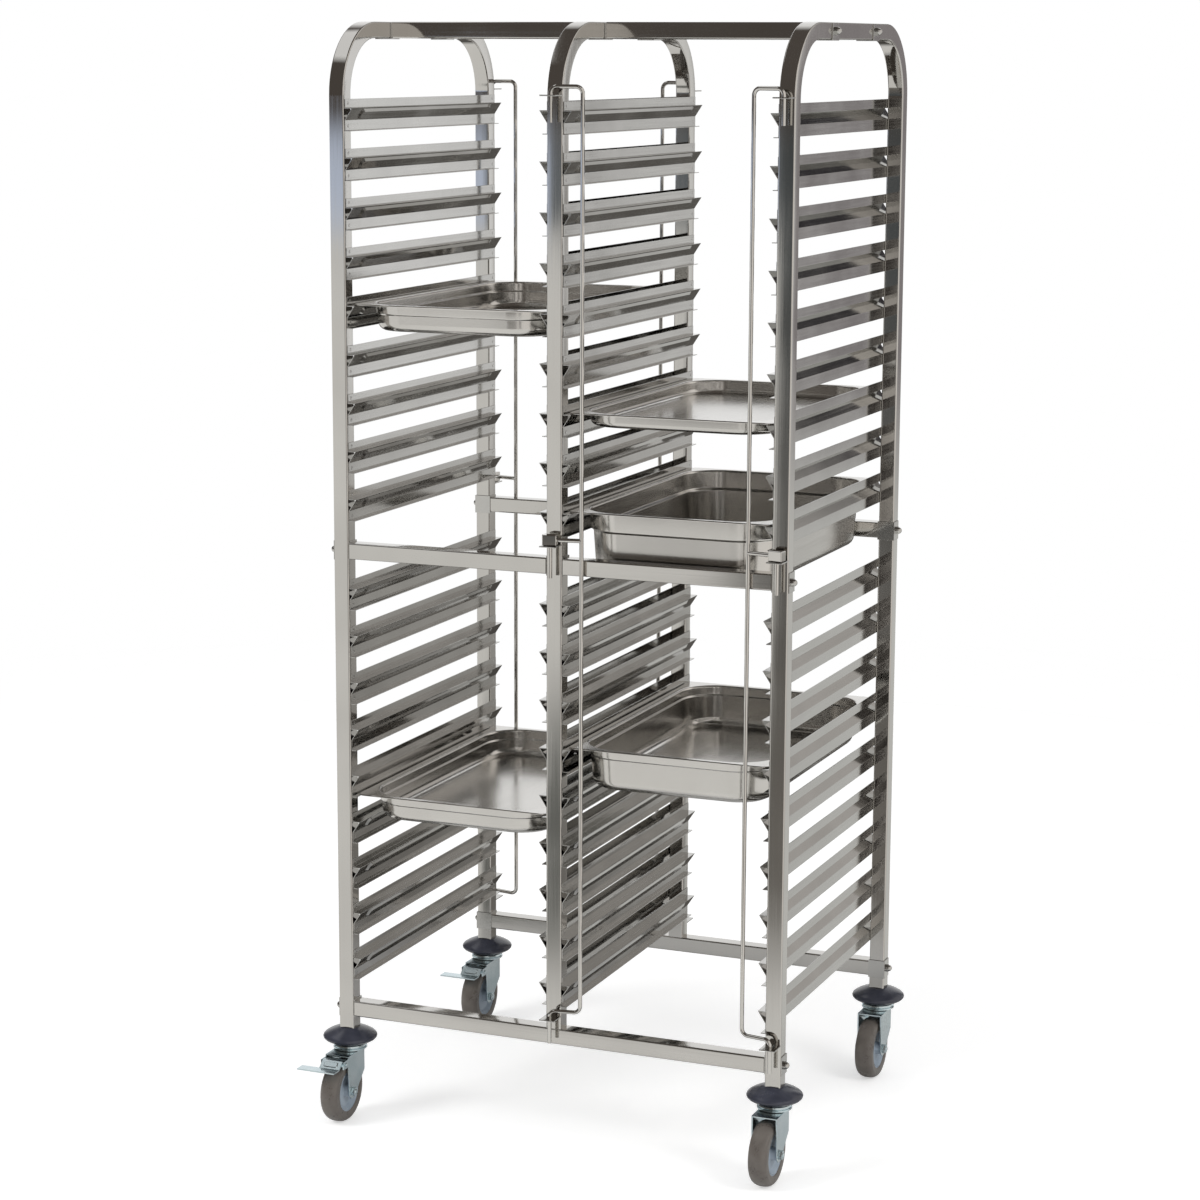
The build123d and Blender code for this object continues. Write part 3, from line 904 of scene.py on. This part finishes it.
def blended(axis, start, stop, first, second):
    """A colour that gives way to another from start to stop along an axis.
    Each is a hex code, or a socket with a colour that was made so."""
    step = {"Value": way[axis], "From Min": start, "From Max": stop}
    share = add(tree, "ShaderNodeMapRange", step).outputs["Result"]
    before, after = (linear(c) if isinstance(c, str) else c for c in (first, second))
    return add(tree, "ShaderNodeMix", {0: share, 6: before, 7: after}, data_type="RGBA").outputs[2]


# In front: the screen and the gloom beside it, then the wall over them, the pale wall on the
# right with a dark stand before it, the ceiling and the floor.
screen = blended("X", -0.40, -0.41, "#777C81", "#DCE8FF")
lower = blended("X", -0.40, -0.41, "#7C7D7A", PALE_FLOOR)
lower = blended("Z", -0.20, -0.235, PALE_FLOOR, lower)
screen = blended("Z", -0.055, -0.062, screen, lower)
gloom = blended("Z", -0.05, -0.25, "#55595B", "#7E7A75")
room = blended("X", -0.328, -0.338, gloom, screen)
room = blended("Z", -0.03, -0.02, room, DIM_WALL)
room = blended("X", 0.10, 0.20, room, PALE_WALL)
stand = blended("X", 0.34, 0.37, "#3A3532", PALE_WALL)
room = blended("X", 0.24, 0.27, room, stand)
ceiling = blended("X", -0.40, -0.43, DIM_WALL, WHITE)
room = blended("Z", 0.70, 0.80, room, ceiling)
room = blended("Z", -0.28, -0.31, room, PALE_FLOOR)

# Behind: the white sweep with two grey flags at eye level, a dark one above them, and the
# sweep's own shade below.
sweep = blended("X", 0.325, 0.345, "#948F90", "#F2F2F0")
sweep = blended("X", 0.375, 0.381, sweep, "#A6A4A2")
sweep = blended("X", 0.398, 0.404, sweep, WHITE)
sweep = blended("X", 0.10, 0.05, sweep, WHITE)
flag = blended("X", 0.235, 0.275, "#3A383A", "#C6C2BE")
flag = blended("X", 0.08, 0.11, WHITE, flag)
sweep = blended("Z", 0.04, 0.08, sweep, flag)
deep = blended("Z", -0.38, -0.48, "#65625E", "#4E4B47")
shade = blended("Z", -0.18, -0.27, "#B4B2AE", "#7C7975")
shade = blended("X", 0.335, 0.35, "#DADAD7", shade)
shade = blended("X", 0.20, 0.165, shade, deep)
sweep = blended("Z", -0.10, -0.16, sweep, shade)
studio = blended("Y", 0.55, 0.75, room, sweep)

rays = add(tree, "ShaderNodeLightPath").outputs
mirror = add(
    tree,
    "ShaderNodeMath",
    {0: rays["Is Glossy Ray"], 1: rays["Is Transmission Ray"]},
    operation="MAXIMUM",
).outputs[0]
seen = add(
    tree, "ShaderNodeMath", {0: mirror, 1: rays["Is Camera Ray"]}, operation="MAXIMUM"
).outputs[0]
shown = add(tree, "ShaderNodeMix", {0: mirror, 6: linear(WHITE), 7: studio}, data_type="RGBA")
level = add(
    tree, "ShaderNodeMapRange", {"Value": seen, "To Min": SOFT_LIGHT, "To Max": FULL_WHITE}
)
ground = tree.nodes["Background"]
tree.links.new(shown.outputs[2], ground.inputs["Color"])
tree.links.new(level.outputs["Result"], ground.inputs["Strength"])
bpy.context.scene.world = world

# Lamps: two large soft boxes, the stronger high on the left of the camera and the weaker on
# its right. They don't show in the steel, which has the surround to mirror. Their sizes are
# in metres, and their power is in watts.
LIT = Vector((0, 0, 0.9))
for name, place, size, power in (
    ("key_lamp", Vector((-2.6, -3.0, 3.2)), 1.6, 80),
    ("fill_lamp", Vector((3.2, -1.2, 2.6)), 1.4, 40),
):
    lamp = bpy.data.lights.new(name, "AREA")
    lamp.shape = "SQUARE"
    lamp.size = size
    lamp.energy = power
    made = bpy.data.objects.new(name, lamp)
    made.visible_glossy = False
    made.location = place
    made.rotation_euler = (LIT - place).to_track_quat("-Z", "Y").to_euler()
    bpy.context.scene.collection.objects.link(made)

# Camera: from the front right, at about the height of the hoops' tops and looking a little
# down, through a long lens. Angles are in degrees.
CAMERA_AT = (1.74445, -4.34987, 1.67954)
LOOKS_DOWN = 10.425
HEADING = 22.286
ROLL = 0.242

lens_data = bpy.data.cameras.new("camera")
lens_data.lens = 89.95
lens_data.sensor_width = 36
lens_data.sensor_fit = "HORIZONTAL"
lens_data.clip_end = 50
camera = bpy.data.objects.new("camera", lens_data)
aim = Euler((radians(90 - LOOKS_DOWN), 0, radians(HEADING))).to_matrix().to_4x4()
camera.matrix_world = Matrix.Translation(CAMERA_AT) @ aim @ spun(ROLL, "Z")
bpy.context.scene.collection.objects.link(camera)
bpy.context.scene.camera = camera
bpy.context.scene.view_settings.view_transform = "Standard"
